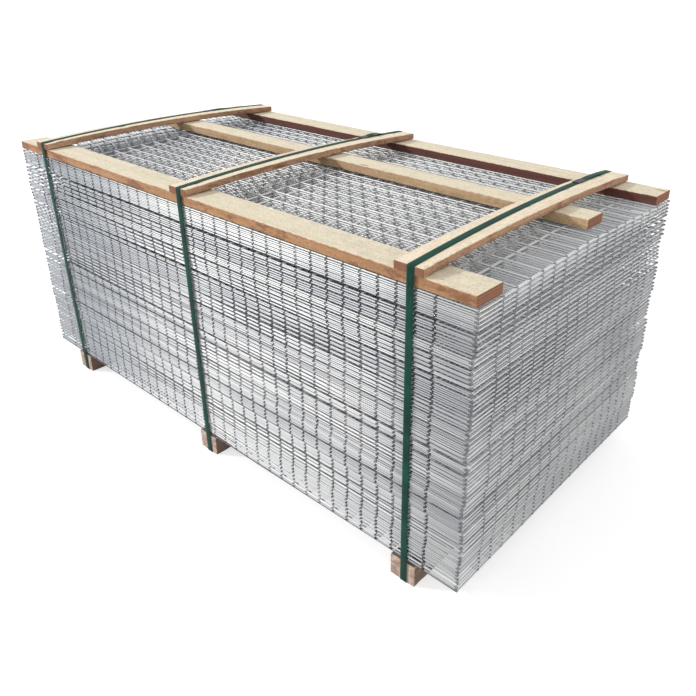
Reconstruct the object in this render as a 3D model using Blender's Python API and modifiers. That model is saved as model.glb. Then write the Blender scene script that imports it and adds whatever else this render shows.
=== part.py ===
"""Strapped bundle of welded wire mesh panels.

A stack of flat welded mesh sheets lies on three timber bearers. Three long
timber runners lie on the top sheet, three bowed battens lie across them, and
each batten is tied down to its bearer by a flat strap that closes in a seal.

Metres, +Z up. X runs along the sheets, Y across them. The origin is on the
floor under the middle of the bundle, and the front long face looks to -Y.
"""

from math import cos, pi

import bmesh
import bpy
from mathutils import Vector

# Clearance kept between two touching pieces.
GAP = 0.0003

# Welded sheet: long wires on top of cross wires, fused where they cross.
SHEET_LENGTH = 2.400
SHEET_WIDTH = 1.200
WIRE = 0.005
CROSS_WIRES = 36
LONG_WIRES = 18
END_BAY = 0.125
SIDE_BAY = 0.110
LONG_PITCH = (SHEET_WIDTH - WIRE - 2 * SIDE_BAY) / (LONG_WIRES - 3)
SHEET_THICKNESS = 2 * WIRE

# Stack under the top sheet. The sheets lie in pairs, one of each pair turned over,
# so that the cross wires of both lie side by side between their long wires.
# Each lot is (pairs, shift along X, shift along Y), from the bottom up.
PAIR_STEP = 0.0158
LOTS = (
    (7, -0.004, 0.002),
    (8, 0.003, -0.002),
    (6, -0.006, 0.001),
    (9, 0.002, 0.003),
    (7, -0.005, -0.001),
    (8, 0.004, 0.002),
    (6, -0.002, -0.003),
    (8, 0.005, 0.001),
)
GROOVE_DEPTH = 0.020
TOP_GROOVE_DEPTH = 0.006
WELL_DEPTH = 0.060
WELL_END_WALL = 0.004
TOP_SHEET_SHIFT = 0.006
CROWN = 0.018
CROWN_FOLDS = tuple(4 * LONG_PITCH * i for i in (-2, -1, 0, 1, 2))

# Timber.
BEARER_WIDTH = 0.098
BEARER_HEIGHT = 0.080
BEARER_OVERHANG = 0.002
BEARER_LENGTH = SHEET_WIDTH + 2 * BEARER_OVERHANG
RUNNER_WIDTH = 0.115
MIDDLE_RUNNER_WIDTH = 0.097
MIDDLE_RUNNER_LENGTH = 2.285
MIDDLE_RUNNER_X = 0.0125
MIDDLE_RUNNER_Y = 0.1085
RUNNER_THICKNESS = 0.033
BATTEN_WIDTH = {"left": 0.088, "middle": 0.092, "right": 0.100}
BATTEN_THICKNESS = 0.024
BATTEN_OVERHANG = 0.005
BATTEN_LENGTH = SHEET_WIDTH + 2 * BATTEN_OVERHANG
BATTEN_BOW = 0.018
BATTEN_SEGMENTS = 12

# Straps and seals.
STATION_INSET = 0.210
STATION_X = SHEET_LENGTH / 2 - STATION_INSET
STATIONS = {"left": -STATION_X, "middle": -0.020, "right": STATION_X}
STRAP_WIDTH = 0.025
STRAP_THICKNESS = 0.001
STRAP_FRONT_X = 0.008
STRAP_BACK_X = -0.029
STRAP_NOTCH_DEPTH = STRAP_THICKNESS + 2 * GAP
STRAP_NOTCH_PLAY = 0.001
STRAP_NOTCH_WIDTH = STRAP_WIDTH + 2 * STRAP_NOTCH_PLAY
SEAL_LENGTH = 0.054
SEAL_WALL = 0.0012
SEAL_SEGMENT = {"left": 8, "middle": 9, "right": 9}

# Heights that follow from the sizes above.
STACK_BOTTOM = BEARER_HEIGHT + GAP
STACK_TOP = STACK_BOTTOM + PAIR_STEP * sum(lot[0] for lot in LOTS) + WIRE
TOP_SHEET_TOP = STACK_TOP + SHEET_THICKNESS


def hump(y):
    return CROWN * (1 + cos(pi * 2 * y / SHEET_WIDTH)) / 2


def crown(y):
    """Rise of the top sheet above its edges, straight between the folds."""
    edge = SHEET_WIDTH / 2
    stops = (-edge, *CROWN_FOLDS, edge)
    y = max(-edge, min(edge, y))
    for low, high in zip(stops, stops[1:]):
        if y <= high:
            share = (y - low) / (high - low)
            return hump(low) + share * (hump(high) - hump(low))
    return 0.0


RUNNER_INNER_EDGE = SHEET_WIDTH / 2 - RUNNER_WIDTH
RUNNER_BOTTOM = TOP_SHEET_TOP + crown(RUNNER_INNER_EDGE) + GAP
RUNNER_TOP = RUNNER_BOTTOM + RUNNER_THICKNESS
MIDDLE_RUNNER_BOTTOM = TOP_SHEET_TOP + crown(MIDDLE_RUNNER_Y - MIDDLE_RUNNER_WIDTH / 2) + GAP


def batten_bow(y):
    """Rise of a batten above its ends, an arch across the width."""
    return BATTEN_BOW * (1 - (2 * y / BATTEN_LENGTH) ** 2)


BATTEN_BOTTOM = RUNNER_TOP + GAP
BATTEN_TOP = BATTEN_BOTTOM + BATTEN_THICKNESS


def clear_scene():
    for obj in list(bpy.data.objects):
        bpy.data.objects.remove(obj, do_unlink=True)


def new_collection(name):
    collection = bpy.data.collections.new(name)
    bpy.context.scene.collection.children.link(collection)
    return collection


def make_material(name, colour, roughness, metallic):
    material = bpy.data.materials.new(name)
    material.use_nodes = True
    shader = material.node_tree.nodes["Principled BSDF"]
    shader.inputs["Base Color"].default_value = (*colour, 1.0)
    shader.inputs["Roughness"].default_value = roughness
    shader.inputs["Metallic"].default_value = metallic
    return material


def add_object(name, bm, collection, material, location=(0, 0, 0)):
    """Turn a bmesh into a named object, with its faces pointing out."""
    bmesh.ops.recalc_face_normals(bm, faces=bm.faces)
    mesh = bpy.data.meshes.new(name)
    bm.to_mesh(mesh)
    bm.free()
    mesh.materials.append(material)
    obj = bpy.data.objects.new(name, mesh)
    obj.location = location
    collection.objects.link(obj)
    return obj


def box(bm, size, centre):
    """Add one box to a bmesh and return its vertices."""
    made = bmesh.ops.create_cube(bm, size=1.0)
    bmesh.ops.scale(bm, vec=size, verts=made["verts"])
    bmesh.ops.translate(bm, vec=centre, verts=made["verts"])
    return made["verts"]


def cut_across(bm, direction, positions, wanted=lambda face: True):
    """Cut the wanted faces at the planes that cross a direction at the positions."""
    for position in positions:
        faces = {face for face in bm.faces if wanted(face)}
        edges = [edge for edge in bm.edges if not faces.isdisjoint(edge.link_faces)]
        verts = [vert for vert in bm.verts if not faces.isdisjoint(vert.link_faces)]
        bmesh.ops.bisect_plane(
            bm,
            geom=verts + edges + [face for face in bm.faces if face in faces],
            plane_co=direction * position,
            plane_no=direction,
        )


def even_cuts(length, segments):
    return [length * (i / segments - 0.5) for i in range(1, segments)]


def push_out(bm, axis, keep, depth):
    """Push the side faces that look along an axis out by the groove depth."""
    faces = [
        face
        for face in bm.faces
        if abs(face.normal[axis]) > 0.9 and keep(face.calc_center_median().z)
    ]
    made = bmesh.ops.extrude_discrete_faces(bm, faces=faces)["faces"]
    for face in made:
        bmesh.ops.translate(bm, vec=face.normal * depth, verts=face.verts)


def wire_places(length, wires, edge_bay):
    """Centres of one set of wires: edge wires, edge bays and even bays between."""
    edge = (length - WIRE) / 2
    inner = edge - edge_bay
    pitch = 2 * inner / (wires - 3)
    return [-edge] + [pitch * i - inner for i in range(wires - 2)] + [edge]


def open_bays(places, skip):
    """Clear spans between neighbouring wires, without some at either side."""
    spans = [(a + WIRE / 2, b - WIRE / 2) for a, b in zip(places, places[1:])]
    return spans[skip : len(spans) - skip]


def sink_wells(bm, height):
    """Sink the open cells between the wires into the top of a lot.

    The runners cover the side bays, so these have none.
    """
    wall = SHEET_LENGTH / 2 - TOP_GROOVE_DEPTH - WELL_END_WALL
    bays_x = [
        (max(a, -wall), min(b, wall))
        for a, b in open_bays(wire_places(SHEET_LENGTH, CROSS_WIRES, END_BAY), 0)
    ]
    bays_y = open_bays(wire_places(SHEET_WIDTH, LONG_WIRES, SIDE_BAY), 1)

    def on_top(face):
        y, z = face.calc_center_median().yz
        return z > height - GAP and abs(y) < SHEET_WIDTH / 2 - TOP_GROOVE_DEPTH

    folds = [CROWN_FOLDS[0], CROWN_FOLDS[-1]]
    cut_across(bm, Vector((1, 0, 0)), [x for bay in bays_x for x in bay], on_top)
    cut_across(bm, Vector((0, 1, 0)), [y for bay in bays_y for y in bay] + folds, on_top)
    cells = []
    for face in bm.faces:
        x, y, z = face.calc_center_median()
        in_x = any(a < x < b for a, b in bays_x)
        in_y = any(a < y < b for a, b in bays_y)
        if on_top(face) and in_x and in_y:
            cells.append(face)
    for face in bmesh.ops.extrude_discrete_faces(bm, faces=cells)["faces"]:
        bmesh.ops.translate(bm, vec=(0, 0, -WELL_DEPTH), verts=face.verts)


def make_lot(number, bottom, lot, topmost, collection, material):
    """Make one lot of sheets as a solid with the gaps cut into its faces.

    The long faces stand out at the heights of the edge wires and the end faces
    at the heights of the end cross wires. The topmost lot also holds the sheet
    that is paired with the top sheet, it rises with the crown, and its cells
    are open from above.
    """
    pairs, shift_x, shift_y = lot
    lip = PAIR_STEP - WIRE
    height = pairs * PAIR_STEP - GAP + (WIRE if topmost else 0)
    groove = TOP_GROOVE_DEPTH if topmost else GROOVE_DEPTH
    bm = bmesh.new()
    core = (SHEET_LENGTH - 2 * groove, SHEET_WIDTH - 2 * groove, height)
    box(bm, core, (0, 0, height / 2))
    starts = [lip / 2 + PAIR_STEP * i for i in range(pairs)]
    levels = [z for start in starts for z in (start, start + WIRE)]
    cut_across(bm, Vector((0, 0, 1)), levels)
    bm.normal_update()

    def at_cross_wires(z):
        return any(start < z < start + WIRE for start in starts)

    push_out(bm, 0, at_cross_wires, groove)
    push_out(bm, 1, lambda z: not at_cross_wires(z), groove)
    if topmost:
        cut_across(bm, Vector((0, 1, 0)), CROWN_FOLDS, lambda face: face.normal.z < 0.5)
        sink_wells(bm, height)
        for vert in bm.verts:
            vert.co.z += crown(vert.co.y) * vert.co.z / height
    return add_object(
        "mesh_lot_%d" % number, bm, collection, material, (shift_x, shift_y, bottom)
    )


def wire_comb(name, boxes, cuts, collection):
    """Make a set of straight bars that don't touch, as one mesh."""
    bm = bmesh.new()
    for size, centre in boxes:
        box(bm, size, centre)
    cut_across(bm, Vector((0, 1, 0)), cuts)
    mesh = bpy.data.meshes.new(name)
    bm.to_mesh(mesh)
    bm.free()
    obj = bpy.data.objects.new(name, mesh)
    collection.objects.link(obj)
    return obj


def make_top_sheet(side, sign, collection, cutters, material):
    """Make half of the top sheet, its cross wires fused into its long wires."""
    half = SHEET_LENGTH / 2 - GAP / 2
    middle = sign * (half / 2 + GAP / 2)
    long_boxes = [
        ((half, WIRE, WIRE), (middle, y, WIRE * 1.5))
        for y in wire_places(SHEET_WIDTH, LONG_WIRES, SIDE_BAY)
    ]
    cross_boxes = [
        ((WIRE, SHEET_WIDTH, WIRE), (x, 0, WIRE / 2))
        for x in wire_places(SHEET_LENGTH, CROSS_WIRES, END_BAY)
        if x * sign > 0
    ]
    sheet = wire_comb("top_sheet_" + side, long_boxes, (), collection)
    cross = wire_comb("cross_wires_" + side, cross_boxes, CROWN_FOLDS, cutters)
    cross.hide_render = True
    cross.display_type = "WIRE"
    union = sheet.modifiers.new("weld", "BOOLEAN")
    union.operation = "UNION"
    union.object = cross
    bpy.context.view_layer.update()
    fused = bpy.data.meshes.new_from_object(
        sheet.evaluated_get(bpy.context.evaluated_depsgraph_get())
    )
    sheet.modifiers.clear()
    sheet.data = fused
    fused.materials.clear()
    fused.materials.append(material)
    for vert in fused.vertices:
        vert.co.z += crown(vert.co.y)
    sheet.location = (TOP_SHEET_SHIFT, 0, STACK_TOP)
    return sheet


def make_bearer(side, x, collection, material):
    """Make a bearer with a shallow notch along its underside for the strap."""
    bm = bmesh.new()
    half = BEARER_WIDTH / 2
    notch = STRAP_NOTCH_WIDTH / 2
    outline = (
        (-half, 0),
        (STRAP_FRONT_X - notch, 0),
        (STRAP_FRONT_X - notch, STRAP_NOTCH_DEPTH),
        (STRAP_FRONT_X + notch, STRAP_NOTCH_DEPTH),
        (STRAP_FRONT_X + notch, 0),
        (half, 0),
        (half, BEARER_HEIGHT),
        (-half, BEARER_HEIGHT),
    )
    verts = [bm.verts.new((px, -BEARER_LENGTH / 2, pz)) for px, pz in outline]
    face = bm.faces.new(verts)
    made = bmesh.ops.extrude_face_region(bm, geom=[face])["geom"]
    moved = [item for item in made if isinstance(item, bmesh.types.BMVert)]
    bmesh.ops.translate(bm, vec=(0, BEARER_LENGTH, 0), verts=moved)
    return add_object("bearer_" + side, bm, collection, material, (x, 0, 0))


def make_runner(side, size, centre, collection, material):
    bm = bmesh.new()
    box(bm, size, (0, 0, 0))
    return add_object("runner_" + side, bm, collection, material, centre)


def make_batten(side, x, collection, material):
    """Make a batten bent into an arch by the strap at its ends."""
    bm = bmesh.new()
    size = (BATTEN_WIDTH[side], BATTEN_LENGTH, BATTEN_THICKNESS)
    box(bm, size, (0, 0, BATTEN_THICKNESS / 2))
    cut_across(bm, Vector((0, 1, 0)), even_cuts(BATTEN_LENGTH, BATTEN_SEGMENTS))
    for vert in bm.verts:
        vert.co.z += batten_bow(vert.co.y)
    return add_object("batten_" + side, bm, collection, material, (x, 0, BATTEN_BOTTOM))


def strap_path():
    """Inner line of a strap: over the batten, down, under the bearer, and up."""
    half = BATTEN_LENGTH / 2
    steps = [2 * half * (i / BATTEN_SEGMENTS - 0.5) for i in range(BATTEN_SEGMENTS + 1)]
    path = [(y, BATTEN_TOP + batten_bow(y) + GAP) for y in steps]
    path[0] = (-half - GAP, path[0][1])
    path[-1] = (half + GAP, path[-1][1])
    under = STRAP_NOTCH_DEPTH - GAP
    return path + [(half + GAP, under), (-half - GAP, under)]


def strap_shift(y):
    """Place of a strap across its batten: it wanders to the left towards the back."""
    share = y / BATTEN_LENGTH + 0.5
    return STRAP_FRONT_X + (STRAP_BACK_X - STRAP_FRONT_X) * share


def make_strap(side, x, collection, material):
    """Make a strap as a closed band of even thickness."""
    bm = bmesh.new()
    verts = [bm.verts.new((-STRAP_WIDTH / 2, y, z)) for y, z in strap_path()]
    edges = [bm.edges.new((a, b)) for a, b in zip(verts, verts[1:] + verts[:1])]
    made = bmesh.ops.extrude_edge_only(bm, edges=edges)["geom"]
    moved = [item for item in made if isinstance(item, bmesh.types.BMVert)]
    bmesh.ops.translate(bm, vec=(STRAP_WIDTH, 0, 0), verts=moved)
    for vert in bm.verts:
        over = vert.co.z > BEARER_HEIGHT
        vert.co.x += strap_shift(vert.co.y) if over else STRAP_FRONT_X
    strap = add_object("strap_" + side, bm, collection, material, (x, 0, 0))
    solidify = strap.modifiers.new("thickness", "SOLIDIFY")
    solidify.thickness = STRAP_THICKNESS
    solidify.offset = 1.0
    solidify.use_even_offset = True
    return strap


def make_seal(side, x, collection, material):
    """Make a crimped seal that is folded over the strap, open below.

    It lies half-way along one straight segment of the arch.
    """
    segment = BATTEN_LENGTH / BATTEN_SEGMENTS
    start = SEAL_SEGMENT[side] * segment - BATTEN_LENGTH / 2
    y = start + segment / 2
    rise = batten_bow(start), batten_bow(start + segment)
    inner = STRAP_WIDTH / 2 + GAP
    outer = inner + SEAL_WALL
    top = STRAP_THICKNESS + GAP
    outline = (
        (-outer, 0),
        (-inner, 0),
        (-inner, top),
        (inner, top),
        (inner, 0),
        (outer, 0),
        (outer, top + SEAL_WALL),
        (-outer, top + SEAL_WALL),
    )
    bm = bmesh.new()
    verts = [bm.verts.new((px, -SEAL_LENGTH / 2, pz)) for px, pz in outline]
    face = bm.faces.new(verts)
    made = bmesh.ops.extrude_face_region(bm, geom=[face])["geom"]
    moved = [item for item in made if isinstance(item, bmesh.types.BMVert)]
    bmesh.ops.translate(bm, vec=(0, SEAL_LENGTH, 0), verts=moved)
    for vert in bm.verts:
        vert.co.x += strap_shift(y + vert.co.y)
        vert.co.z += (rise[1] - rise[0]) / segment * vert.co.y
    rest = BATTEN_TOP + sum(rise) / 2 + 2 * GAP
    return add_object("seal_" + side, bm, collection, material, (x, y, rest))


def build():
    clear_scene()
    parts = new_collection("strapped_mesh_bundle")
    cutters = new_collection("cutters")

    zinc = make_material("galvanised_wire", (0.60, 0.60, 0.62), 0.45, 0.7)
    timber = make_material("sawn_softwood", (0.70, 0.52, 0.33), 0.75, 0.0)
    green = make_material("green_polyester_strap", (0.016, 0.100, 0.065), 0.35, 0.0)
    steel = make_material("seal_steel", (0.45, 0.46, 0.47), 0.4, 0.9)

    for side, x in STATIONS.items():
        make_bearer(side, x, parts, timber)

    bottom = STACK_BOTTOM
    for number, lot in enumerate(LOTS, start=1):
        make_lot(number, bottom, lot, number == len(LOTS), parts, zinc)
        bottom += lot[0] * PAIR_STEP

    for side, sign in (("left", -1), ("right", 1)):
        make_top_sheet(side, sign, parts, cutters, zinc)

    edge_y = SHEET_WIDTH / 2 - RUNNER_WIDTH / 2
    edge_size = (SHEET_LENGTH, RUNNER_WIDTH, RUNNER_THICKNESS)
    edge_z = RUNNER_BOTTOM + RUNNER_THICKNESS / 2
    middle_size = (MIDDLE_RUNNER_LENGTH, MIDDLE_RUNNER_WIDTH, RUNNER_THICKNESS)
    middle_z = MIDDLE_RUNNER_BOTTOM + RUNNER_THICKNESS / 2
    make_runner("front", edge_size, (0, -edge_y, edge_z), parts, timber)
    make_runner(
        "middle", middle_size, (MIDDLE_RUNNER_X, MIDDLE_RUNNER_Y, middle_z), parts, timber
    )
    make_runner("back", edge_size, (0, edge_y, edge_z), parts, timber)

    for side, x in STATIONS.items():
        make_batten(side, x, parts, timber)
        make_strap(side, x, parts, green)
        make_seal(side, x, parts, steel)


build()
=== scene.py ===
"""Dressed view of a strapped bundle of welded wire mesh panels.

Every sheet of the stack is laid as real round wires, in turned-over pairs, and
the timber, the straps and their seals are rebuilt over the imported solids.
Metres, +Z up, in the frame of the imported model.
"""

from math import pi, radians, sin

import bmesh
import bpy
import numpy as np
from mathutils import Matrix, Vector, noise


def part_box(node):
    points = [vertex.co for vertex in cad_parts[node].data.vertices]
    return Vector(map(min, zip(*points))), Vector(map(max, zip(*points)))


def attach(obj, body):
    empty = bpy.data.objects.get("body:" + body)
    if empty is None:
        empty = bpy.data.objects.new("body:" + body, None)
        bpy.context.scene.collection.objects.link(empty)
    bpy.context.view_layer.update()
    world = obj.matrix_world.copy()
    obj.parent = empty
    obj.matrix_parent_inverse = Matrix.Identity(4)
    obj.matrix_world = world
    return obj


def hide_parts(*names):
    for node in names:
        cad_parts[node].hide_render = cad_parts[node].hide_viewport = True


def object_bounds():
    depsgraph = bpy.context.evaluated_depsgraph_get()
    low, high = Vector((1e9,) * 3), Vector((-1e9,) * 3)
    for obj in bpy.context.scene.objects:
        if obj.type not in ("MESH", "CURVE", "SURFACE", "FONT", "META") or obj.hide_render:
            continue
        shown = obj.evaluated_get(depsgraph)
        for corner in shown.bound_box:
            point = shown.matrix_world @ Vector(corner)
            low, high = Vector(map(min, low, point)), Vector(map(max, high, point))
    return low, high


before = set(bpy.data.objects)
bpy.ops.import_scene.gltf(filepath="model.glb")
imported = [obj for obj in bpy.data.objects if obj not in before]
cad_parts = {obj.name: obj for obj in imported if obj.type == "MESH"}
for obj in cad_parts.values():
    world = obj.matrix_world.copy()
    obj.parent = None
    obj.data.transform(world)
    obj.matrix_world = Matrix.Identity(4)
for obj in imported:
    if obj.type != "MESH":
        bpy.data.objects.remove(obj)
cad_low, cad_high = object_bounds()

ROOT = "root"

# Welded sheet. Its wires sink into each other where they cross, and the bays at its
# ends and sides are wider than the rest.
SHEET_LENGTH = 2.400
SHEET_WIDTH = 1.200
WIRE = 0.005
WELD_SINK = 0.0019
CROSS_WIRES = 36
LONG_WIRES = 18
END_BAY = 0.125
SIDE_BAY = 0.110
EDGE_X = (SHEET_LENGTH - WIRE) / 2
EDGE_Y = (SHEET_WIDTH - WIRE) / 2
FIRST_X = END_BAY - EDGE_X
FIRST_Y = SIDE_BAY - EDGE_Y
PITCH_X = -2 * FIRST_X / (CROSS_WIRES - 3)
PITCH_Y = -2 * FIRST_Y / (LONG_WIRES - 3)
PAIR_THICKNESS = 3 * WIRE - 2 * WELD_SINK

# Lines that a sheet bends at.
BEND_BAYS = 8
BEND_X = tuple(SHEET_LENGTH * (i / BEND_BAYS - 0.5) for i in range(BEND_BAYS + 1))
BEND_Y = (-SHEET_WIDTH / 2, *(n * PITCH_Y for n in (-8, -4, 0, 4, 8)), SHEET_WIDTH / 2)

# Stack: the pairs of sheets in each lot, bottom to top. BESIDE is the shift between
# the sheets of a pair, and GAP what stays free over a lot. The topmost lot has a lone
# sheet over its pairs, and the open top sheet lies on it.
PAIRS = (7, 8, 6, 9, 7, 8, 6, 8)
PAIR_STEP = 0.0158
BESIDE = 0.0052
GAP = 0.0003
LONE_SHEET_LIFT = 0.0016
TOP_SHEET_SHIFT = 0.006
TOP_SHEET_SINK = 0.0011
CROWN = 0.018

# Layers: pairs that shift as one. The weights share out a lot's slack: under a layer,
# between the pairs of a layer and inside a pair.
LAYER_WEIGHTS = (2.6, 7.5)
PAIR_WEIGHTS = (0.8, 2.4)
INSIDE_WEIGHT = 0.5
WEIGHT_SWAY = 0.4
WAVES = 3
WAVE_TURNS_X = (0.2, 1.0)
WAVE_TURNS_Y = (-0.6, 0.6)
LAYER_STEPS = (-0.0023, -0.0019, -0.0013, 0.0, 0.0012)
LAYER_MIDDLE = 1.5
LAYER_LOOSE_X = 0.0012
LAYER_LOOSE_Y = 0.0018
LOOSE_X = 0.0002
LOOSE_Y = 0.0010
SHEET_SEED = 11

# Layers of the topmost lot, the last of them pressed together.
TOP_LAYERS = (0, 0, 1, 1, 2, 2, 2, 2)
TOP_WEIGHTS = (3.0, 1.5, 3.4, 1.5, 4.4, 0.35, 0.3, 0.3)
PRESSED_PAIRS = TOP_LAYERS.count(TOP_LAYERS[-1])
PRESSED_INSIDE_WEIGHT = 0.25
PRESSED_LOOSE_Y = 0.0005

# Tones of the zinc: 0 is dull, 1 is pale, and below 0 it is darkened as painted shade. Some are
# set by depth in the stack as painted light and shade.
MEAN_TONE = 0.5
LAYER_TONE_SPREAD = 0.13
SHEET_TONE_SPREAD = 0.22
# The lowest sheets of the stack are darkened as painted shade under the stack.
LOWEST_TONES = (-0.85, 0.0)
# Painted light on the pressed layer, and painted shade under it and at its lowest sheets.
UNDER_PRESSED_SHADE = 0.4
PRESSED_TONE = 0.62
PRESSED_SHARE = 0.1
PRESSED_LOW_SHEETS = 4
PRESSED_LOW_SHADE = 0.25
TOP_SHEET_TONE = 0.6

# Timber, and the places of a board's finishes among its materials.
BATTEN_THICKNESS = 0.024
BATTEN_LENGTH = 1.210
BOARD_ROWS = 90
ARRIS_ROUND = 0.0018
WEAR_SEED = 5
WANDER = 0.0005
WANDER_LENGTHWISE = 0.3
WANDER_SCALE = 9
CHIPPED_BAND = 0.004
CHIP_SCALE = (23, 3, 40)
CHIP_INWARDS = 0.0035
CHIP_DOWN = 0.0030
FLAT_FACE = 0.95
BROAD_FACE, EDGE_FACE, END_FACE, ARRIS_FACE = range(4)

# Straps.
SIDES = ("left", "middle", "right")
STRAP_WIDTH = 0.025
STRAP_THICKNESS = 0.0009
STRAP_COLUMNS = 4
STRAP_BEND = 0.005
STRAP_FRONT_X = 0.008
STRAP_BACK_X = -0.029
STRAP_UNDERSIDE = 0.0012
STRAP_INSET = 0.0001
STRAP_MIDDLE_ROW = 0.60
BATTEN_LIP = 0.02
NEARLY_STRAIGHT = radians(168)
EMBOSS_PITCH = 0.0034
TAIL_LENGTH = {"left": 0.120, "middle": 0.115, "right": 0.215}
TAIL_RISE = {"left": 0.002, "middle": 0.0075, "right": 0.0025}
TAIL_CLEARANCE = 0.0004

# Seals: a sleeve with a flap on one half of its top, crimped in three places.
SEAL_LENGTH = 0.054
SEAL_WIDTH = STRAP_WIDTH + 0.0034
SEAL_HEIGHT = {"left": 0.0025, "middle": 0.0050, "right": 0.0036}
SEAL_ROUND = 0.0006
SEAL_ROWS = 26
SEAL_COLUMNS = (-0.38, -0.25, 0.0, 0.03, 0.25, 0.38)
FLAP_START = 0.0004
FLAP_STEP = 0.0003
CRIMPS = (-0.015, 0.0, 0.015)
CRIMP_REACH = 0.0042
CRIMP_RIM = 0.0009
CRIMP_DENT = 0.0006
CRIMP_SQUEEZE = 0.10

# Stage and light.
FLOOR_REACH = 40.0
SKY_LIGHT = 0.84
LAMP_AIM = (0, 0, 0.5)


# Shading kit.


class Value:
    """One number on a surface. Sums and products of it become Math nodes."""

    def __init__(self, tree, socket):
        self.tree = tree
        self.socket = socket

    def work(self, operation, *inputs):
        node = self.tree.nodes.new("ShaderNodeMath")
        node.operation = operation
        for slot, value in zip(node.inputs, inputs):
            if isinstance(value, Value):
                self.tree.links.new(value.socket, slot)
            else:
                slot.default_value = value
        return Value(self.tree, node.outputs[0])

    def __add__(self, other):
        return self.work("ADD", self, other)

    __radd__ = __add__

    def __sub__(self, other):
        return self.work("SUBTRACT", self, other)

    def __rsub__(self, other):
        return self.work("SUBTRACT", other, self)

    def __mul__(self, other):
        return self.work("MULTIPLY", self, other)

    __rmul__ = __mul__

    def __truediv__(self, other):
        return self.work("DIVIDE", self, other)

    def __gt__(self, other):
        return self.work("GREATER_THAN", self, other)

    def __lt__(self, other):
        return self.work("LESS_THAN", self, other)

    def size(self):
        return self.work("ABSOLUTE", self)

    def fraction(self):
        return self.work("FRACT", self)

    def larger(self, other):
        return self.work("MAXIMUM", self, other)

    def smaller(self, other):
        return self.work("MINIMUM", self, other)


class NodeKit:
    """Adds nodes to one tree."""

    def __init__(self, tree):
        self.tree = tree

    def feed(self, slot, value):
        if isinstance(value, Value):
            self.tree.links.new(value.socket, slot)
        else:
            slot.default_value = value

    def add(self, kind, settings=None, inputs=None, output=0):
        """Make one node: its settings first, then the values of its sockets."""
        node = self.tree.nodes.new("ShaderNode" + kind)
        for key, value in (settings or {}).items():
            if key == "stops":
                ramp = node.color_ramp.elements
                while len(ramp) < len(value):
                    ramp.new(1.0)
                for element, (position, colour) in zip(ramp, value):
                    element.position = position
                    element.color = (*colour, 1.0)
            else:
                setattr(node, key, value)
        for key, value in (inputs or {}).items():
            self.feed(node.inputs[key], value)
        return Value(self.tree, node.outputs[output])

    def seen_ray(self):
        """1 for rays that see the backdrop: straight, in metal or through glass."""
        straight, glossy, through = (
            self.add("LightPath", output="Is %s Ray" % kind)
            for kind in ("Camera", "Glossy", "Transmission")
        )
        return straight.larger(glossy).larger(through)


class Finish(NodeKit):
    """One procedural material around a single Principled shader."""

    def __init__(self, name, **plain):
        self.material = bpy.data.materials.new(name)
        self.material.use_nodes = True
        super().__init__(self.material.node_tree)
        self.shader = self.tree.nodes["Principled BSDF"]
        for key, value in plain.items():
            self.shader.inputs[key.replace("_", " ")].default_value = value

    def mix(self, share, low, high):
        """Blend two colours by a share from 0 to 1.

        A Mix node's colour sockets go by number, because several share a name.
        """
        colours = [(*c, 1.0) if isinstance(c, tuple) else c for c in (low, high)]
        inputs = {0: share, 6: colours[0], 7: colours[1]}
        return self.add("Mix", {"data_type": "RGBA"}, inputs, 2)

    def place(self, scale=(1, 1, 1), shift=(0, 0, 0)):
        """Object coordinates, stretched and shifted."""
        here = self.add("TexCoord", output="Object")
        return self.add("Mapping", None, {"Vector": here, "Scale": scale, "Location": shift})

    def part(self, vector, axis):
        """One coordinate of a vector."""
        return self.add("SeparateXYZ", None, {"Vector": vector}, axis)

    def noise(self, where, scale, detail=2.0, roughness=0.5, distortion=0.0):
        inputs = {
            "Vector": where,
            "Scale": scale,
            "Detail": detail,
            "Roughness": roughness,
            "Distortion": distortion,
        }
        return self.add("TexNoise", None, inputs)

    def ramp(self, value, *stops):
        return self.add("ValToRGB", {"stops": stops}, {"Fac": value})

    def level(self, value, low, high):
        """Stretch a value so that low becomes 0 and high becomes 1, and cut it there."""
        inputs = {"Value": value, "From Min": low, "From Max": high}
        return self.add("MapRange", {"clamp": True}, inputs)

    def bump(self, height, strength, distance):
        inputs = {"Height": height, "Strength": strength, "Distance": distance}
        return self.add("Bump", None, inputs)

    def paint(self, **inputs):
        for key, value in inputs.items():
            self.feed(self.shader.inputs[key.replace("_", " ")], value)
        return self.material


# Finish of the wire.


def near_wire(value, first, pitch, edge, reach):
    """1 within reach of a wire of the set that crosses here, 0 elsewhere."""
    step = (((value - first) / pitch + 0.5).fraction() - 0.5).size()
    inner = (step < reach / pitch) * (value.size() < reach - first)
    return inner.larger(value.size() > edge - reach)


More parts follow.
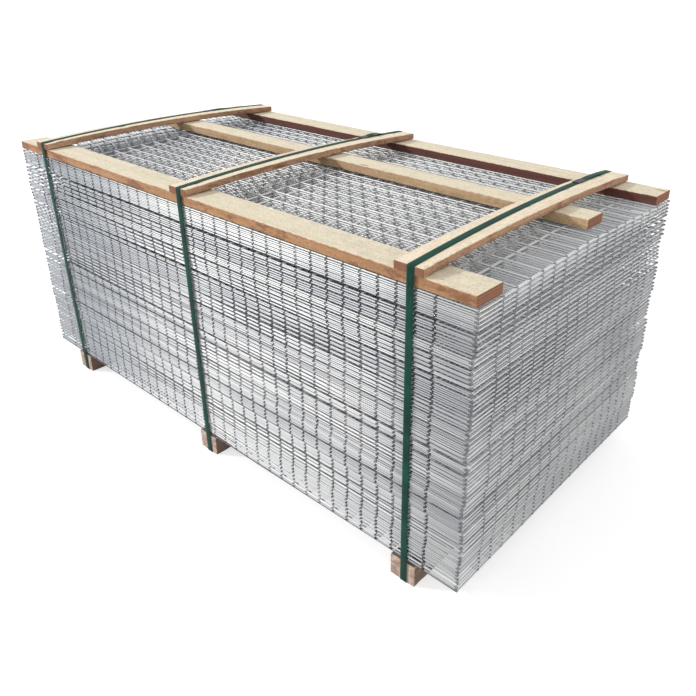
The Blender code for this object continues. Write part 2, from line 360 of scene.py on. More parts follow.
def zinc_finish():
    """Galvanised wire: pale grey, cloudy, with burnt welds at the crossings.

    The welds are plainest along the sheet's sides, then at its ends, and faint inside.
    The zinc is darkened towards both ends, mostly the left one, and on the outer long
    wires of that end, as painted shade. The end wires are lightened as painted light,
    and the lowest sheet is darkened as painted shade under the stack.
    """
    f = Finish("galvanised_wire")
    sheet = f.add("UVMap", {"uv_map": "sheet"})
    along = f.part(sheet, "X")
    across = f.part(sheet, "Y")
    tone = f.add("Attribute", {"attribute_name": "tone"}, output="Fac")
    cloud = f.noise(f.place(), 4.0, 3.0)
    spangle = f.noise(f.place((1, 1, 3)), 160.0, 2.0)
    at_end = along.size() > EDGE_X - 0.004
    at_side = across.size() > EDGE_Y - 0.004

    reach = 0.0026 + 0.0018 * spangle
    at_cross_wire = near_wire(along, FIRST_X, PITCH_X, EDGE_X, reach)
    at_long_wire = near_wire(across, FIRST_Y, PITCH_Y, EDGE_Y, reach)
    end_share = 1.0 - 0.30 * at_end
    rim_share = 0.35 + 0.65 * at_side.larger(at_end)
    cloud_share = 1.0 - 0.45 * f.level(cloud, 0.50, 0.62)
    tone_share = 0.7 + 0.3 * f.level(tone, 0.75, 0.35)
    weld = at_cross_wire * at_long_wire * end_share * rim_share * cloud_share * tone_share

    # Painted shade: the zinc darkens towards both ends, mostly the left one.
    painted_end_shade = f.level(along, -0.3, -1.1) * 0.40 + f.level(along, 0.6, 1.15) * 0.12
    grey = f.ramp(
        tone * 0.55 + cloud * 0.45 + spangle * 0.1 - painted_end_shade,
        (0.25, (0.47, 0.485, 0.51)),
        (0.55, (0.66, 0.665, 0.67)),
        (0.85, (0.80, 0.80, 0.79)),
    )
    # Painted light: the end wires are lightened.
    end_lit = f.mix(at_end * 0.22, grey, (0.95, 0.955, 0.96))
    # Painted shade: darker still towards the left end, most on the outer long wires.
    left_shade_share = f.level(along, -0.1, -0.9) * (0.1 + 0.75 * at_side)
    left_shaded = f.mix(left_shade_share, end_lit, (0.31, 0.33, 0.36))
    stain = f.level(cloud * 0.5 + tone * 0.5, 0.60, 0.80) * 0.2
    stained = f.mix(stain, left_shaded, (0.50, 0.46, 0.37))
    # Painted shade: tones below 0, on the lowest sheet, darken to near black.
    bottom_shaded = f.mix(f.level(tone, 0.0, -1.0), stained, (0.07, 0.07, 0.075))
    burnt = f.mix(spangle, (0.008, 0.011, 0.016), (0.06, 0.06, 0.06))
    return f.paint(
        Base_Color=f.mix(weld, bottom_shaded, burnt),
        Roughness=0.42 + spangle * 0.2 + weld * 0.25,
        Metallic=0.35 - weld * 0.3,
    )


def cut_wire_finish():
    """Sheared wire end: dark steel with a smear of zinc, more of it at the sheet's ends."""
    f = Finish("cut_wire_end", Metallic=0.3)
    speck = f.noise(f.place(), 400.0, 2.0)
    at_end = f.part(f.place(), "X").size() > EDGE_X - 0.010
    dark = f.mix(speck, (0.02, 0.022, 0.026), (0.12, 0.12, 0.12))
    zinced = f.mix(speck, (0.05, 0.053, 0.056), (0.24, 0.24, 0.24))
    return f.paint(
        Base_Color=f.mix(at_end, dark, zinced),
        Roughness=0.55 + speck * 0.25,
    )


# Finishes of the timber.


def stretched(along, lengthwise, crosswise=1.0):
    """Scale of a pattern on a board that runs along axis 0 or 1."""
    scale = [crosswise, crosswise, crosswise]
    scale[along] = lengthwise
    return tuple(scale)


def shaded(colour, share):
    """A colour made darker or paler."""
    return tuple(min(1.0, share * part) for part in colour)


def timber_face_finish(name, along, pale, dark, knot_reach=0.05, bark=0.0):
    """Sawn softwood seen along the grain. along is the board's long axis, 0 or 1.

    bark is how strongly reddish patches of inner bark show.
    """
    f = Finish(name)
    fibre = f.noise(f.place(stretched(along, 0.05)), 420.0, 4.0, 0.65)
    band = f.noise(f.place(stretched(along, 0.02)), 60.0, 2.0, 0.5, 0.6)
    pore = f.noise(f.place(), 130.0, 4.0, 0.75)
    blotch = f.noise(f.place(), 22.0, 3.0, 0.6)
    patch = f.noise(f.place(stretched(along, 0.35)), 26.0, 4.0, 0.7)
    saw = f.noise(f.place(stretched(along, 1.0, 0.02)), 330.0, 1.0)
    knot_place = f.place(stretched(along, 2.3, 9.0))
    knot = f.add("TexVoronoi", {"feature": "F1"}, {"Vector": knot_place, "Scale": 1.0})
    heart = 1.0 - f.level(knot, 0.05, 0.05 + knot_reach)

    wood = f.mix(f.level(band, 0.38, 0.66) * 0.6, pale, dark)
    streaked = f.mix(f.level(fibre, 0.45, 0.75) * 0.35, wood, shaded(dark, 0.62))
    rough = f.mix(f.level(pore, 0.50, 0.68) * 0.55, streaked, shaded(dark, 0.52))
    bleached = f.mix(f.level(pore, 0.48, 0.30) * 0.5, rough, shaded(pale, 1.18))
    mottled = f.mix(f.level(blotch, 0.50, 0.66) * 0.35, bleached, shaded(pale, 0.66))
    knotted = f.mix(heart * 0.8, mottled, (0.19, 0.085, 0.035))
    barked = f.mix(f.level(patch, 0.52, 0.60) * bark, knotted, (0.17, 0.062, 0.034))
    return f.paint(
        Base_Color=barked,
        Roughness=0.66 + fibre * 0.25,
        Normal=f.bump(fibre * 0.6 + saw * 0.4 + pore * 0.5, 0.4, 0.0012),
    )


def arris_highlight_finish():
    """Upward corner of a sawn board, painted pale as a highlight, with rosy flecks."""
    f = Finish("timber_arris_highlight")
    fleck = f.noise(f.place(), 55.0, 3.0, 0.7)
    bark = f.noise(f.place(), 14.0, 2.0)
    # Painted highlight: the upward corner is pale.
    pale = f.mix(f.level(fleck, 0.4, 0.62), (0.74, 0.58, 0.42), (0.50, 0.29, 0.18))
    return f.paint(
        Base_Color=f.mix(f.level(bark, 0.56, 0.66) * 0.7, pale, (0.20, 0.09, 0.05)),
        Roughness=0.75 + fleck * 0.15,
    )


def end_grain_finish():
    """Sawn end of a board: reddish, with growth rings and rough fibres."""
    f = Finish("sawn_end_grain")
    ring_inputs = {
        "Vector": f.place((1, 0.02, 1), (0.03, 0, 0.17)),
        "Scale": 55.0,
        "Distortion": 2.0,
        "Detail": 2.0,
        "Detail Scale": 1.5,
    }
    rings = f.add("TexWave", {"wave_type": "RINGS", "rings_direction": "Y"}, ring_inputs)
    fibre = f.noise(f.place(), 500.0, 3.0)
    wood = f.mix(f.level(rings, 0.2, 0.9) * 0.6, (0.33, 0.145, 0.075), (0.15, 0.052, 0.028))
    return f.paint(
        Base_Color=f.mix(f.level(fibre, 0.42, 0.7) * 0.5, wood, (0.10, 0.038, 0.026)),
        Roughness=0.8 + fibre * 0.1,
        Normal=f.bump(fibre + rings * 0.4, 0.5, 0.0012),
    )


# Finishes of the straps and seals.


def strap_finish():
    """Dark green polyester strapping: embossed, a little paler along its edges, partly wear and
    partly a painted highlight.
    """
    f = Finish("green_polyester_strap", IOR=1.3, Specular_IOR_Level=0.2)
    ribbon = f.add("UVMap", {"uv_map": "ribbon"})
    along = f.part(ribbon, "X")
    across = f.part(ribbon, "Y")
    cloud = f.noise(f.place(), 12.0, 3.0)
    lean = ((along + across) / EMBOSS_PITCH).fraction()
    counter = ((along - across) / EMBOSS_PITCH).fraction()
    emboss = ((lean - 0.5).size() + (counter - 0.5).size()).smaller(0.55)
    # Painted highlight and wear: paler along both edges.
    rim = f.level(across.size(), STRAP_WIDTH * 0.40, STRAP_WIDTH * 0.49)
    scuff = f.level(f.noise(f.place((4, 4, 1)), 60.0, 3.0, 0.7), 0.56, 0.70)
    green = f.mix(f.level(cloud, 0.35, 0.7), (0.007, 0.032, 0.024), (0.013, 0.070, 0.052))
    scuffed = f.mix(scuff * 0.35, green, (0.02, 0.14, 0.10))
    return f.paint(
        Base_Color=f.mix(rim * 0.3, scuffed, (0.03, 0.22, 0.15)),
        Roughness=0.42 + cloud * 0.2,
        Normal=f.bump(emboss, 0.35, 0.0004),
    )


def seal_finish():
    """Blued steel: near black, scuffed, with paler blotches."""
    f = Finish("seal_steel", Metallic=0.15, Specular_IOR_Level=0.3)
    scuff = f.noise(f.place((1, 4, 1)), 220.0, 3.0)
    blotch = f.noise(f.place(), 60.0, 2.0)
    grey = f.mix(scuff, (0.015, 0.017, 0.02), (0.09, 0.095, 0.10))
    return f.paint(
        Base_Color=f.mix(f.level(blotch, 0.56, 0.66) * 0.4, grey, (0.30, 0.31, 0.32)),
        Roughness=0.40 + scuff * 0.25,
    )


ZINC = zinc_finish()
CUT_WIRE = cut_wire_finish()
# Painted light and shade: the broad faces are paler and the edge faces darker than the wood
# alone would be, partly the wood's colour and partly painted light on the tops and painted shade
# on the sides. The batten sides and all long faces of the bearers are darkened further as
# painted shade, and the end grain is darker partly as painted shade.
PALE_X = timber_face_finish("pale_timber_x", 0, (0.755, 0.677, 0.517), (0.65, 0.555, 0.405))
PALE_Y = timber_face_finish("pale_timber_y", 1, (0.84, 0.73, 0.56), (0.74, 0.61, 0.44))
ORANGE = ((0.50, 0.28, 0.135), (0.29, 0.12, 0.055))
FRONT_SIDE = timber_face_finish("orange_timber", 0, *ORANGE, 0.07, 0.65)
TAN = ((0.56, 0.39, 0.22), (0.40, 0.26, 0.15))
MIDDLE_SIDE = timber_face_finish("tan_timber", 0, *TAN, 0.06, 0.25)
MAROON = ((0.13, 0.042, 0.03), (0.06, 0.02, 0.016))
BACK_SIDE = timber_face_finish("maroon_timber", 0, *MAROON)
BROWN = ((0.50, 0.30, 0.18), (0.26, 0.125, 0.07))
BATTEN_SIDE = timber_face_finish("brown_timber", 1, *BROWN, 0.06, 0.55)
PINKISH = ((0.64, 0.51, 0.41), (0.38, 0.235, 0.175))
BEARER_END = timber_face_finish("bearer_end_timber", 1, *PINKISH, 0.05, 0.5)
BEARER_SHADE = ((0.24, 0.165, 0.12), (0.11, 0.07, 0.05))
BEARER_SIDE = timber_face_finish("bearer_side_timber", 1, *BEARER_SHADE, 0.05, 0.5)
# Painted highlight on the boards' upward corners.
ARRIS = arris_highlight_finish()
END_GRAIN = end_grain_finish()
STRAP_GREEN = strap_finish()
SEAL_STEEL = seal_finish()


# Making kit.


def finish_piece(name, mesh, materials, slot, *nodes):
    """Show a finished mesh in place of CAD nodes, attached to the root body."""
    for material in materials:
        mesh.materials.append(material)
    piece = bpy.data.objects.new(name, mesh)
    bpy.context.scene.collection.objects.link(piece)
    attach(piece, ROOT)
    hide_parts(*nodes)
    return piece


def to_mesh(bm, name):
    mesh = bpy.data.meshes.new(name)
    bm.to_mesh(mesh)
    bm.free()
    return mesh


def cut_across(bm, direction, positions):
    """Cut every face at the planes that cross a direction at the positions."""
    for position in positions:
        bmesh.ops.bisect_plane(
            bm,
            geom=bm.verts[:] + bm.edges[:] + bm.faces[:],
            plane_co=direction * position,
            plane_no=direction,
        )


def even_cuts(length, parts):
    """Places that part a length evenly, measured from its middle."""
    return [length * (i / parts - 0.5) for i in range(1, parts)]


def round_edges(bm, edges, offset):
    bmesh.ops.bevel(
        bm,
        geom=edges,
        offset=offset,
        segments=2,
        profile=0.5,
        affect="EDGES",
        material=-1,
    )


# Welded sheets.


def wire_places(edge, first, pitch, wires):
    """Centres of one set of wires: an edge wire, even bays, an edge wire."""
    return [-edge] + [first + pitch * i for i in range(wires - 2)] + [edge]


def lay_wires(bm, places, length, turn, axis, level, sides):
    """Add one set of straight wires, all turned the same way."""
    for place in places:
        made = bmesh.ops.create_cone(
            bm,
            cap_ends=True,
            segments=sides,
            radius1=WIRE / 2,
            radius2=WIRE / 2,
            depth=length,
        )
        shift = Vector((0, 0, level))
        shift[axis] = place
        matrix = Matrix.Translation(shift) @ turn
        bmesh.ops.transform(bm, matrix=matrix, verts=made["verts"])


def straight_sheet(sides, sink):
    """One flat sheet, its cross wires at z 0 and its long wires fused on top.

    Its map holds the place on the sheet, so that the welds can be found.
    """
    bm = bmesh.new()
    long_turn = Matrix.Rotation(pi / 2, 4, "Y")
    long_places = wire_places(EDGE_Y, FIRST_Y, PITCH_Y, LONG_WIRES)
    lay_wires(bm, long_places, SHEET_LENGTH, long_turn, 1, WIRE - sink, sides)
    cut_across(bm, Vector((1, 0, 0)), BEND_X[1:-1])
    cross = bmesh.new()
    cross_turn = Matrix.Rotation(pi / 2, 4, "X")
    cross_places = wire_places(EDGE_X, FIRST_X, PITCH_X, CROSS_WIRES)
    lay_wires(cross, cross_places, SHEET_WIDTH, cross_turn, 0, 0.0, sides)
    cut_across(cross, Vector((0, 1, 0)), BEND_Y[1:-1])
    loose = to_mesh(cross, "cross_wires")
    bm.from_mesh(loose)
    bpy.data.meshes.remove(loose)
    bmesh.ops.recalc_face_normals(bm, faces=bm.faces)
    sheet_map = bm.loops.layers.uv.new("sheet")
    for face in bm.faces:
        cap = len(face.verts) > 4
        face.material_index = 1 if cap else 0
        face.smooth = not cap
        for loop in face.loops:
            loop[sheet_map].uv = loop.vert.co.xy
    return to_mesh(bm, "straight_sheet")


def points_of(mesh):
    flat = np.empty(len(mesh.vertices) * 3, np.float32)
    mesh.vertices.foreach_get("co", flat)
    return flat.reshape(-1, 3)


def set_tones(mesh, tones):
    attribute = mesh.attributes.new("tone", "FLOAT", "POINT")
    attribute.data.foreach_set("value", tones.astype(np.float32))


class Bends:
    """Reads a grid of heights at the bends of a sheet's own points."""

    def __init__(self, points):
        self.column, self.share_x = self.find(points[:, 0], BEND_X)
        self.row, self.share_y = self.find(points[:, 1], BEND_Y)

    @staticmethod
    def find(values, stops):
        cell = np.clip(np.searchsorted(stops, values, side="right") - 1, 0, len(stops) - 2)
        stops = np.array(stops)
        return cell, (values - stops[cell]) / (stops[cell + 1] - stops[cell])

    def read(self, grid):
        c, r = self.column, self.row
        low = grid[c, r] * (1 - self.share_x) + grid[c + 1, r] * self.share_x
        high = grid[c, r + 1] * (1 - self.share_x) + grid[c + 1, r + 1] * self.share_x
        return low * (1 - self.share_y) + high * self.share_y


def slow_waves(random, count):
    """Smooth random fields over the bends of a sheet, about -1 to 1."""
    x = np.array(BEND_X)[None, :, None]
    y = np.array(BEND_Y)[None, None, :]
    field = np.zeros((count, len(BEND_X), len(BEND_Y)))
    for _ in range(WAVES):
        turns_x = random.uniform(*WAVE_TURNS_X, (count, 1, 1))
        turns_y = random.uniform(*WAVE_TURNS_Y, (count, 1, 1))
        start = random.uniform(0, 2 * pi, (count, 1, 1))
        field += np.sin(2 * pi * (turns_x * x + turns_y * y) + start) / 2
    return field


def crown_grid():
    """Rise of the topmost sheets above their edges, at the bends."""
    rise = CROWN * (1 + np.cos(2 * pi * np.array(BEND_Y) / SHEET_WIDTH)) / 2
    return np.tile(rise, (len(BEND_X), 1))


def layers_of(random, pairs):
    """Number of the layer that each pair lies in: two to four pairs shift as one."""
    layers = []
    while len(layers) < pairs:
        layers += [len(set(layers))] * int(random.integers(2, 5))
    return layers[:pairs]


def share_slack(random, slack, layers, topmost):
    """Split a lot's slack over its sheets: most of it lies under each layer."""
    pairs = len(layers)
    opens = np.array([here != below for here, below in zip(layers, [-1] + layers)])
    under_layers = random.uniform(*LAYER_WEIGHTS, pairs)
    inside_layers = random.uniform(*PAIR_WEIGHTS, pairs)
    between = np.where(opens, under_layers, inside_layers)
    inside = np.full(pairs, INSIDE_WEIGHT)
    if topmost:
        between[:] = TOP_WEIGHTS
        inside[-PRESSED_PAIRS:] = PRESSED_INSIDE_WEIGHT
    between = between[:, None, None] * np.exp(WEIGHT_SWAY * slow_waves(random, pairs))
    inside = inside[:, None, None] * np.exp(WEIGHT_SWAY * slow_waves(random, pairs))
    weight = np.stack((between, inside), axis=1).reshape(2 * pairs, *between.shape[1:])
    return slack * weight / weight.sum(axis=0)


def jogs(random, layers, centre):
    """Shift of each pair along X: the pairs of a layer step evenly to one side.

    A layer of four pairs has its middle near the centre.
    """
    reach = cad_high.x - SHEET_LENGTH / 2 - BESIDE / 2 - LOOSE_X
    shifts = []
    for i, layer in enumerate(layers):
        if i == 0 or layer != layers[i - 1]:
            step = random.choice(LAYER_STEPS)
            loose = random.uniform(-LAYER_LOOSE_X, LAYER_LOOSE_X)
            place = centre - step * LAYER_MIDDLE + loose
        shifts.append(float(np.clip(place, -reach, reach)) + random.uniform(-LOOSE_X, LOOSE_X))
        place += step
    return shifts


def sheet_tones(random, number, layers, sheets):
    """Tone of each sheet of a lot. The sheets of a layer have much the same one.

    The pressed layer is even and pale, as painted light, and its lowest sheets and
    what lies under it are darkened as painted shade. The stack's lowest sheets are
    darkened as painted shade under the stack.
    """
    pairs = len(layers)
    shared = random.normal(MEAN_TONE, LAYER_TONE_SPREAD, pairs + 1)
    tones = np.array([shared[layers[min(i // 2, pairs - 1)]] for i in range(sheets)])
    tones = np.clip(tones + random.normal(0, SHEET_TONE_SPREAD, sheets), 0, 1)
    # Painted light on the pressed layer; painted shade under it and at its lowest sheets.
    if number == len(PAIRS):
        under = 2 * (pairs - PRESSED_PAIRS)
        tones[:under] *= UNDER_PRESSED_SHADE
        tones[under:] = PRESSED_TONE + PRESSED_SHARE * (tones[under:] - MEAN_TONE)
        tones[under : under + PRESSED_LOW_SHEETS] -= PRESSED_LOW_SHADE
    # Painted shade under the stack on its lowest sheets.
    if number == 1:
        tones[: len(LOWEST_TONES)] = LOWEST_TONES
    return tones


def stack_lot(number, pairs, template, random):
    """Lay one lot of sheets, two by two, each pair's lower sheet turned over."""
    low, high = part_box("mesh_lot_%d" % number)
    topmost = number == len(PAIRS)
    height = pairs * PAIR_STEP - GAP
    sheets = 2 * pairs + (1 if topmost else 0)
    layers = list(TOP_LAYERS) if topmost else layers_of(random, pairs)
    slack = share_slack(random, height - pairs * PAIR_THICKNESS, layers, topmost)
    shifts = jogs(random, layers, (low.x + high.x) / 2)
    layer_y = random.uniform(-LAYER_LOOSE_Y, LAYER_LOOSE_Y, pairs)
    loose_y = LOOSE_Y
    if topmost:
        shifts[-PRESSED_PAIRS:] = [TOP_SHEET_SHIFT - BESIDE / 2] * (PRESSED_PAIRS + 1)
        layer_y[layers[-1]] = 0.0
        loose_y = PRESSED_LOOSE_Y
    rest = points_of(template)
    bends = Bends(rest)
    copy = template.copy()
    bm = bmesh.new()
    for i in range(sheets):
        pair, upper = divmod(i, 2)
        side = 1.0 if upper else -1.0
        layer = layers[min(pair, pairs - 1)]
        shift_x = shifts[pair] + BESIDE * side / 2
        shift_y = float(layer_y[layer] + random.uniform(-loose_y, loose_y))
        level = low.z + pair * PAIR_THICKNESS + slack[: i + 1].sum(axis=0)
        if pair == pairs:
            level = level + LONE_SHEET_LIFT
        if topmost:
            level = level + crown_grid() * np.minimum((level - low.z) / height, 1)
        points = rest.copy()
        points[:, 0] += shift_x
        points[:, 1] = points[:, 1] * side + shift_y
        points[:, 2] = points[:, 2] * side + PAIR_THICKNESS / 2 + bends.read(level)
        copy.vertices.foreach_set("co", points.ravel())
        bm.from_mesh(copy)
    bpy.data.meshes.remove(copy)
    name = "mesh_sheets_%d" % number
    mesh = to_mesh(bm, name)
    set_tones(mesh, np.repeat(sheet_tones(random, number, layers, sheets), len(rest)))
    finish_piece(name, mesh, (ZINC, CUT_WIRE), "galvanised_wire", "mesh_lot_%d" % number)


def lay_top_sheet(template):
    """Lay the open top sheet over the crown."""
    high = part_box("top_sheet_right")[1]
    edge_level = high.z - CROWN - (2 * WIRE - TOP_SHEET_SINK)
    points = points_of(template)
    bends = Bends(points)
    points[:, 0] += TOP_SHEET_SHIFT
    points[:, 2] += edge_level + WIRE / 2 + bends.read(crown_grid())
    mesh = template.copy()
    mesh.vertices.foreach_set("co", points.ravel())
    set_tones(mesh, np.full(len(points), TOP_SHEET_TONE))
    finish_piece(
        "top_mesh_sheet",
        mesh,
        (ZINC, CUT_WIRE),
        "galvanised_wire",
        "top_sheet_left",
        "top_sheet_right",
    )


def make_sheets():
    random = np.random.default_rng(SHEET_SEED)
    plain = straight_sheet(6, WELD_SINK)
    for number, pairs in enumerate(PAIRS, start=1):
        stack_lot(number, pairs, plain, random)
    lay_top_sheet(straight_sheet(10, TOP_SHEET_SINK))


# Timber.


def plain_board(size, along):
    """A board about its own middle, with rounded edges and rows of points along it."""
    bm = bmesh.new()
    bmesh.ops.create_cube(bm, size=1.0)
    bmesh.ops.scale(bm, vec=size, verts=bm.verts)
    round_edges(bm, bm.edges[:], ARRIS_ROUND)
    direction = Vector((0, 0, 0))
    direction[along] = 1.0
    cut_across(bm, direction, even_cuts(size[along], BOARD_ROWS))
    return bm


def face_place(normal, along):
    """Which of a board's finishes a face takes, told from where it faces.

    Of the rounded corners, those at the ends take the end's finish, and the others
    take the pale arris finish, a painted highlight, where they face up.
    """
    lengthwise = abs(normal[along])
    crosswise = abs(normal[1 - along])
    if max(lengthwise, crosswise, abs(normal.z)) < FLAT_FACE:
        if lengthwise > 0.3:
            return END_FACE
        return ARRIS_FACE if normal.z > 0 else EDGE_FACE
    if lengthwise >= FLAT_FACE:
        return END_FACE
    return EDGE_FACE if crosswise >= FLAT_FACE else BROAD_FACE


def wear(bm, size, along, place):
    """Draw a board's faces in unevenly, and chip it along its long edges.

    place is where in the noise the board lies.
    """
    across = 1 - along
    for vert in bm.verts:
        wander = noise.noise_vector(vert.co * WANDER_SCALE + place) * WANDER
        wander[along] *= WANDER_LENGTHWISE
        if abs(vert.co.z) > size.z / 2 - CHIPPED_BAND:
            spot = Vector((vert.co[along], vert.co[across], vert.co.z)) * Vector(CHIP_SCALE)
            chip = noise.noise(spot + place)
            wander[across] += CHIP_INWARDS * max(0.0, chip - 0.08)
            wander.z += CHIP_DOWN * max(0.0, chip - 0.15)
        vert.co -= Vector([abs(w) * (1 if c > 0 else -1) for w, c in zip(wander, vert.co)])


def board(node, along, bow):
    """Rebuild a sawn board over its solid. bow is the rise of its middle."""
    low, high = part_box(node)
    size = high - low
    size.z -= bow
    centre = (low + high) / 2
    centre.z = low.z + size.z / 2
    bm = plain_board(size, along)
    bm.normal_update()
    for face in bm.faces:
        face.material_index = face_place(face.normal, along)
    rises = [bow * (1 - (2 * vert.co[along] / size[along]) ** 2) for vert in bm.verts]
    wear(bm, size, along, Vector((centre.x * 7, centre.y * 7, 3.0)))
    for vert, rise in zip(bm.verts, rises):
        vert.co.z += rise
    bmesh.ops.translate(bm, vec=centre, verts=bm.verts)
    return bm


def make_board(name, node, along, finishes, bow=0.0):
    """Dress one board. Its finishes are in the order of the places BROAD_FACE and so on."""
    mesh = to_mesh(board(node, along, bow), name)
    finish_piece(name, mesh, finishes, "sawn_softwood", node)


def batten_bow():
    low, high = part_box("batten_middle")
    return high.z - low.z - BATTEN_THICKNESS


def make_timber():
    noise.seed_set(WEAR_SEED)
    for side, edge in (("front", FRONT_SIDE), ("middle", MIDDLE_SIDE), ("back", BACK_SIDE)):
        finishes = (PALE_X, edge, END_GRAIN, ARRIS)
        make_board("timber_runner_" + side, "runner_" + side, 0, finishes)
    for side in SIDES:
        finishes = (PALE_Y, BATTEN_SIDE, END_GRAIN, ARRIS)
        make_board("timber_batten_" + side, "batten_" + side, 1, finishes, batten_bow())
        finishes = (BEARER_SIDE, BEARER_SIDE, BEARER_END, ARRIS)
        make_board("timber_bearer_" + side, "bearer_" + side, 1, finishes)


# Straps and seals.


def rounded(corners, radius, steps=5):
    """Points of a path through corners, each sharp one turned within the radius."""
    path = []
    for before, corner, after in zip(corners, corners[1:], corners[2:]):
        back = (before - corner).normalized()
        ahead = (after - corner).normalized()
        if back.angle(ahead) > NEARLY_STRAIGHT:
            path.append(corner)
            continue
        reach = min(radius, 0.4 * (before - corner).length, 0.4 * (after - corner).length)
        start = corner + back * reach
        end = corner + ahead * reach
        for i in range(steps + 1):
            t = i / steps
            path.append(start * (1 - t) ** 2 + corner * 2 * t * (1 - t) + end * t * t)
    return [corners[0]] + path + [corners[-1]]


def lay_ribbon(bm, path):
    """Add a flat strap along a path, with its length and width mapped."""
    row = [
        bm.verts.new(path[0] + Vector((STRAP_WIDTH * (column / STRAP_COLUMNS - 0.5), 0, 0)))
        for column in range(STRAP_COLUMNS + 1)
    ]
    place = {vert: (0.0, vert.co.x - path[0].x) for vert in row}
    edges = [bm.edges.new(pair) for pair in zip(row, row[1:])]
    faces = []
    travelled = 0.0
    for here, there in zip(path, path[1:]):
        travelled += (there - here).length
        made = bmesh.ops.extrude_edge_only(bm, edges=edges)["geom"]
        verts = [item for item in made if isinstance(item, bmesh.types.BMVert)]
        faces += [item for item in made if isinstance(item, bmesh.types.BMFace)]
        edges = [
            item
            for item in made
            if isinstance(item, bmesh.types.BMEdge) and all(vert in verts for vert in item.verts)
        ]
        bmesh.ops.translate(bm, vec=there - here, verts=verts)
        place.update({vert: (travelled, vert.co.x - there.x) for vert in verts})
    ribbon_map = bm.loops.layers.uv["ribbon"]
    for face in faces:
        face.smooth = True
        for loop in face.loops:
            loop[ribbon_map].uv = place[loop.vert]


def strap_shift(y):
    """Place of a strap across its batten: it wanders to the left towards the back."""
    return STRAP_FRONT_X + (STRAP_BACK_X - STRAP_FRONT_X) * (y / BATTEN_LENGTH + 0.5)


def over_batten(side, bow, y, rise=0.0):
    """Point on the middle of a strap where it lies over a batten."""
    low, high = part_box("batten_" + side)
    arch = bow * (1 - (y / high.y) ** 2)
    x = (low.x + high.x) / 2 + strap_shift(y)
    return Vector((x, y, low.z + BATTEN_THICKNESS + arch + GAP + rise))


def seal_place(side):
    low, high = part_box("seal_" + side)
    return (low.y + high.y) / 2


def strap_corners(side, bow):
    """Inner line of a strap, from its seal round the bundle and back.

    The row in the middle of the front keeps the smooth shading there even.
    """
    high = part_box("strap_" + side)[1]
    half = BATTEN_LENGTH / 2
    lip = half - BATTEN_LIP
    outside = high.y - STRAP_THICKNESS - STRAP_INSET
    front = over_batten(side, bow, -half)
    back = over_batten(side, bow, half)
    forwards = [over_batten(side, bow, y) for y in np.linspace(seal_place(side), -lip, 16)]
    onwards = [over_batten(side, bow, y) for y in np.linspace(lip, seal_place(side), 6)]
    around = [
        Vector((front.x, -outside, front.z)),
        Vector((front.x, -outside, STRAP_MIDDLE_ROW)),
        Vector((front.x, -outside, STRAP_UNDERSIDE)),
        Vector((front.x, outside, STRAP_UNDERSIDE)),
        Vector((back.x, outside, back.z)),
    ]
    return forwards + around + onwards


def strap_tail(side, bow):
    """Loose end of a strap, from its cut end back into the seal."""
    path = []
    for share in np.linspace(1.0, -0.1, 12):
        y = seal_place(side) + TAIL_LENGTH[side] * share
        lift = TAIL_RISE[side] * max(0.0, sin(pi * share))
        path.append(over_batten(side, bow, y, STRAP_THICKNESS + TAIL_CLEARANCE + lift))
    return path


def make_strap(side, bow):
    name = "strap_ribbon_" + side
    bm = bmesh.new()
    bm.loops.layers.uv.new("ribbon")
    lay_ribbon(bm, rounded(strap_corners(side, bow), STRAP_BEND))
    lay_ribbon(bm, strap_tail(side, bow))
    mesh = to_mesh(bm, name)
    piece = finish_piece(name, mesh, (STRAP_GREEN,), "green_strap", "strap_" + side)
    solid = piece.modifiers.new("thickness", "SOLIDIFY")
    solid.thickness = STRAP_THICKNESS
    solid.offset = 1.0


def crimp(y):
    """1 in the middle of each of a seal's three crimps, 0 between them."""
    return max(max(0.0, 1 - abs(y - place) / CRIMP_REACH) for place in CRIMPS)


def seal_block(height):
    """A block with rounded edges and enough points to be crimped."""
    bm = bmesh.new()
    bmesh.ops.create_cube(bm, size=1.0)
    bmesh.ops.scale(bm, vec=(SEAL_WIDTH, SEAL_LENGTH, height), verts=bm.verts)
    cut_across(bm, Vector((0, 1, 0)), even_cuts(SEAL_LENGTH, SEAL_ROWS))
    cut_across(bm, Vector((1, 0, 0)), [SEAL_WIDTH * share for share in SEAL_COLUMNS])
    sharp = [edge for edge in bm.edges if edge.calc_face_angle(0) > radians(60)]
    round_edges(bm, sharp, SEAL_ROUND)
    return bm


def make_seal(side, bow):
    """A steel sleeve with an overlapping flap, crimped three times onto the strap."""
    height = SEAL_HEIGHT[side]
    bm = seal_block(height)
    y = seal_place(side)
    slope = -2 * bow * y / (BATTEN_LENGTH / 2) ** 2
    for vert in bm.verts:
        pinch = crimp(vert.co.y)
        rim = max(0.0, (2 * abs(vert.co.x) / SEAL_WIDTH - 0.5) / 0.5)
        if vert.co.z > 0:
            if vert.co.x > FLAP_START:
                vert.co.z += FLAP_STEP
            vert.co.z += (CRIMP_RIM * rim - CRIMP_DENT * (1 - rim)) * pinch
        vert.co.x *= 1 - CRIMP_SQUEEZE * pinch * rim
        vert.co.x += strap_shift(y + vert.co.y) - strap_shift(y)
        vert.co.z += slope * vert.co.y
    bmesh.ops.translate(bm, vec=over_batten(side, bow, y, height / 2), verts=bm.verts)
    name = "crimped_seal_" + side
    finish_piece(name, to_mesh(bm, name), (SEAL_STEEL,), "seal_steel", "seal_" + side)


def make_straps():
    bow = batten_bow()
    for side in SIDES:
        make_strap(side, bow)
        make_seal(side, bow)


# Stage, light and camera.


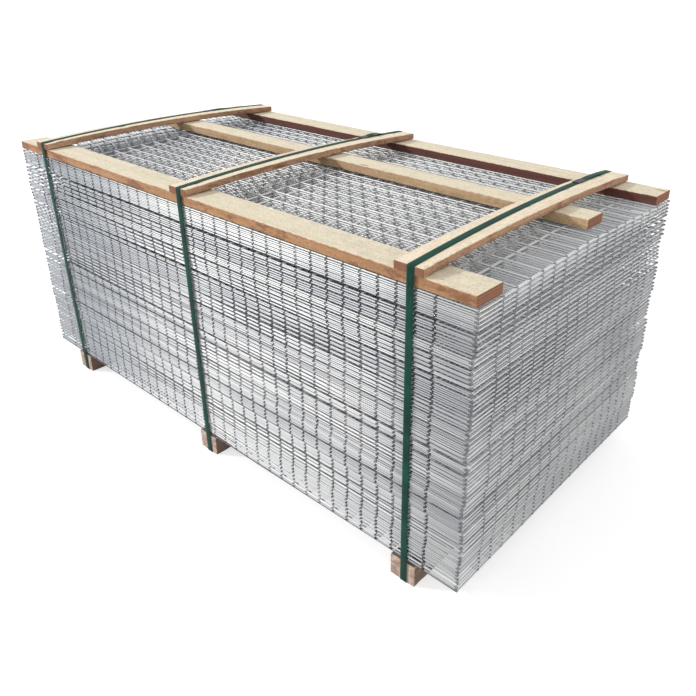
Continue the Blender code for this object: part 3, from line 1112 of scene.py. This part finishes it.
def stage_finish():
    """Pale floor that the camera and the metal see almost as white as the backdrop."""
    f = Finish("pale_floor", Roughness=0.9, Emission_Strength=1.0)
    speck = f.noise(f.place(), 3.0, 2.0)
    return f.paint(
        Base_Color=f.mix(speck, (0.46, 0.46, 0.46), (0.50, 0.50, 0.50)),
        Emission_Color=f.mix(f.seen_ray(), (0, 0, 0), (0.66, 0.66, 0.66)),
    )


def make_stage():
    bm = bmesh.new()
    bmesh.ops.create_grid(bm, x_segments=1, y_segments=1, size=FLOOR_REACH)
    mesh = to_mesh(bm, "floor")
    mesh.materials.append(stage_finish())
    floor = bpy.data.objects.new("floor", mesh)
    bpy.context.scene.collection.objects.link(floor)

    world = bpy.data.worlds.new("studio")
    bpy.context.scene.world = world
    world.use_nodes = True
    kit = NodeKit(world.node_tree)
    sky = world.node_tree.nodes["Background"]
    sky.inputs["Color"].default_value = (1.0, 1.0, 1.0, 1.0)
    kit.feed(sky.inputs["Strength"], SKY_LIGHT + (1.0 - SKY_LIGHT) * kit.seen_ray())


def add_lamp(name, place, size, power):
    """A round lamp that shines on the middle of the stack."""
    lamp = bpy.data.lights.new(name, "AREA")
    lamp.shape = "DISK"
    lamp.size = size
    lamp.energy = power
    obj = bpy.data.objects.new(name, lamp)
    obj.location = place
    obj.rotation_euler = (Vector(LAMP_AIM) - Vector(place)).to_track_quat("-Z", "Y").to_euler()
    bpy.context.scene.collection.objects.link(obj)


def make_lamps():
    add_lamp("key", place=(-15.0, -11.4, 11.0), size=1.6, power=3150)
    add_lamp("fill", place=(6.4, -1.2, 0.8), size=1.2, power=65)


def make_camera():
    data = bpy.data.cameras.new("camera")
    data.sensor_width = 36.0
    data.lens = 36.535
    data.shift_x = -0.0632
    data.shift_y = -0.0617
    camera = bpy.data.objects.new("camera", data)
    camera.location = (2.0303, -1.8888, 1.7690)
    camera.rotation_euler = (radians(64.296), radians(-0.594), radians(40.681))
    bpy.context.scene.collection.objects.link(camera)
    bpy.context.scene.camera = camera
    bpy.context.scene.view_settings.view_transform = "Standard"


make_camera()
make_stage()
make_lamps()
make_sheets()
make_timber()
make_straps()
